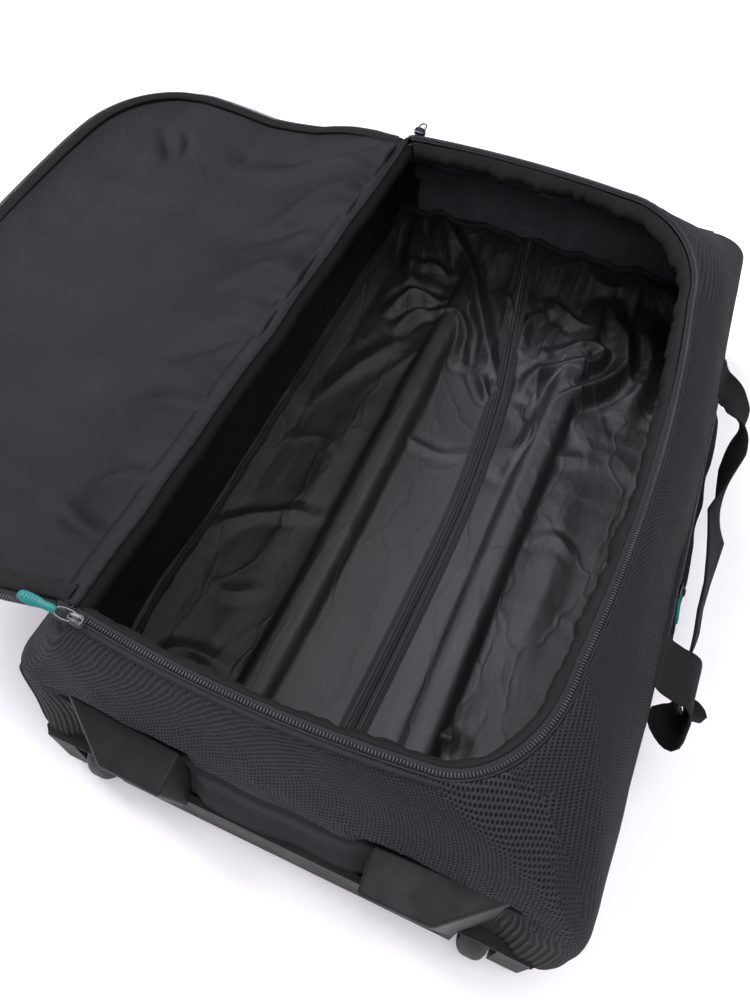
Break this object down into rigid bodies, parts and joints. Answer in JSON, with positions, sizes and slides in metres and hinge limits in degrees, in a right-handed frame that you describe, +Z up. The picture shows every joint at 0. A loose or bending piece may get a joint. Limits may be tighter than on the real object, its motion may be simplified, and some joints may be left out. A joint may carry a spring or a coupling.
{
  "type": "rolling duffel bag",
  "caption": "Wheeled duffel bag on its back with its lid zipped open: lined hollow body, telescopic handle under the floor lining, wheel carriage, webbing carry handles.",
  "frame": {"origin": "on the ground under the middle of the base, on the centre skid runner's face", "axes": "+X across the bag away from the lid hinge, +Y towards the handle end, +Z up, out of the mouth"},
  "size_m": [0.772, 0.827, 0.2617],
  "materials": {
    "outer_fabric": "matte",
    "lining_fabric": "satin",
    "foam": "matte",
    "board": "matte",
    "tube_metal": "satin",
    "moulded_plastic": "matte",
    "hood_plastic": "satin",
    "grip_plastic": "satin",
    "button_plastic": "satin",
    "steel": "satin",
    "tyre": "matte",
    "hub_plastic": "matte",
    "zipper_coil": "satin",
    "gunmetal": "polished",
    "teal_pull": "satin",
    "webbing": "matte"
  },
  "bodies": {
    "bag": {"bag_shell": "outer_fabric", "base_board": "board", "floor_pad_left": "foam", "floor_pad_centre": "foam", "floor_pad_right": "foam", "floor_lining": "lining_fabric", "left_outer_tube": "tube_metal", "right_outer_tube": "tube_metal", "tube_saddles": "moulded_plastic", "tube_socket": "moulded_plastic", "handle_housing": "moulded_plastic", "wheel_carriage": "moulded_plastic", "left_hood": "hood_plastic", "right_hood": "hood_plastic", "left_axle": "steel", "right_axle": "steel", "left_axle_nut": "steel", "right_axle_nut": "steel", "left_runner": "moulded_plastic", "centre_runner": "moulded_plastic", "right_runner": "moulded_plastic", "runner_rivets": "steel", "carriage_screws": "steel", "body_zipper": "zipper_coil", "floor_zipper": "zipper_coil", "side_pocket": "outer_fabric", "pocket_zipper": "zipper_coil", "left_carry_handle": "webbing", "right_carry_handle": "webbing", "end_grab_handle": "webbing"},
    "left_wheel": {"left_tyre": "tyre", "left_hub": "hub_plastic", "left_bearings": "steel"},
    "right_wheel": {"right_tyre": "tyre", "right_hub": "hub_plastic", "right_bearings": "steel"},
    "handle_stage_two": {"left_mid_tube": "tube_metal", "right_mid_tube": "tube_metal", "mid_tube_bridge": "moulded_plastic"},
    "handle_grip": {"left_inner_tube": "tube_metal", "right_inner_tube": "tube_metal", "left_glide_plug": "moulded_plastic", "right_glide_plug": "moulded_plastic", "grip_lower_shell": "grip_plastic", "grip_upper_shell": "grip_plastic"},
    "release": {"release_button": "button_plastic", "push_rods": "moulded_plastic"},
    "lid": {"lid_panel": "outer_fabric", "lid_zipper": "zipper_coil"},
    "near_slider": {"near_main_slider": "gunmetal"},
    "near_pull": {"near_ring_pull": "gunmetal", "main_pull_tab": "teal_pull"},
    "far_slider": {"far_main_slider": "gunmetal"},
    "far_pull": {"far_ring_pull": "gunmetal"},
    "floor_slider_body": {"floor_slider": "gunmetal"},
    "floor_pull_body": {"floor_pull": "gunmetal"},
    "pocket_slider_body": {"pocket_slider": "gunmetal"},
    "pocket_pull_body": {"pocket_pull_tab": "teal_pull"}
  },
  "joints": [
    {"name": "left_wheel_spin", "type": "hinge", "parent": "bag", "child": "left_wheel", "pos_m": [-0.172, -0.374, 0.036], "axis": [1, 0, 0], "continuous": true},
    {"name": "right_wheel_spin", "type": "hinge", "parent": "bag", "child": "right_wheel", "pos_m": [0.172, -0.374, 0.036], "axis": [1, 0, 0], "continuous": true},
    {"name": "handle_stage_two_slide", "type": "slide", "parent": "bag", "child": "handle_stage_two", "axis": [0, 1, 0], "range_m": [0, 0.18]},
    {"name": "handle_grip_slide", "type": "slide", "parent": "handle_stage_two", "child": "handle_grip", "axis": [0, 1, 0], "range_m": [0, 0.18]},
    {"name": "release_button_press", "type": "slide", "parent": "handle_grip", "child": "release", "axis": [0, -1, 0], "range_m": [0, 0.005], "stiffness_N_per_m": 800, "springref_m": -0.004},
    {"name": "lid_hinge", "type": "hinge", "parent": "bag", "child": "lid", "pos_m": [-0.168, 0, 0.2556], "axis": [0, 1, 0], "range_deg": [0, 180]},
    {"name": "near_slider_slide", "type": "slide", "parent": "bag", "child": "near_slider", "axis": [1, 0, 0], "range_m": [0, 0.2]},
    {"name": "near_pull_swing", "type": "hinge", "parent": "near_slider", "child": "near_pull", "pos_m": [-0.1575, -0.3535, 0.25925], "axis": [0, 1, 0], "range_deg": [0, 150]},
    {"name": "far_slider_slide", "type": "slide", "parent": "bag", "child": "far_slider", "axis": [1, 0, 0], "range_m": [0, 0.12]},
    {"name": "far_pull_swing", "type": "hinge", "parent": "far_slider", "child": "far_pull", "pos_m": [-0.1575, 0.2735, 0.25925], "axis": [1, 0, 0], "range_deg": [0, 120]},
    {"name": "floor_slider_slide", "type": "slide", "parent": "bag", "child": "floor_slider_body", "axis": [0.066, -0.9976, -0.0226], "range_m": [0, 0.63]},
    {"name": "floor_pull_swing", "type": "hinge", "parent": "floor_slider_body", "child": "floor_pull_body", "pos_m": [-0.02464, 0.35342, 0.07383], "axis": [-0.9978, -0.066, -0.0007], "range_deg": [0, 150]},
    {"name": "pocket_slider_slide", "type": "slide", "parent": "bag", "child": "pocket_slider_body", "axis": [0, 1, 0], "range_m": [0, 0.2]},
    {"name": "pocket_pull_swing", "type": "hinge", "parent": "pocket_slider_body", "child": "pocket_pull_body", "pos_m": [0.23, -0.11, 0.1755], "axis": [0, -1, 0], "range_deg": [0, 55]}
  ]
}
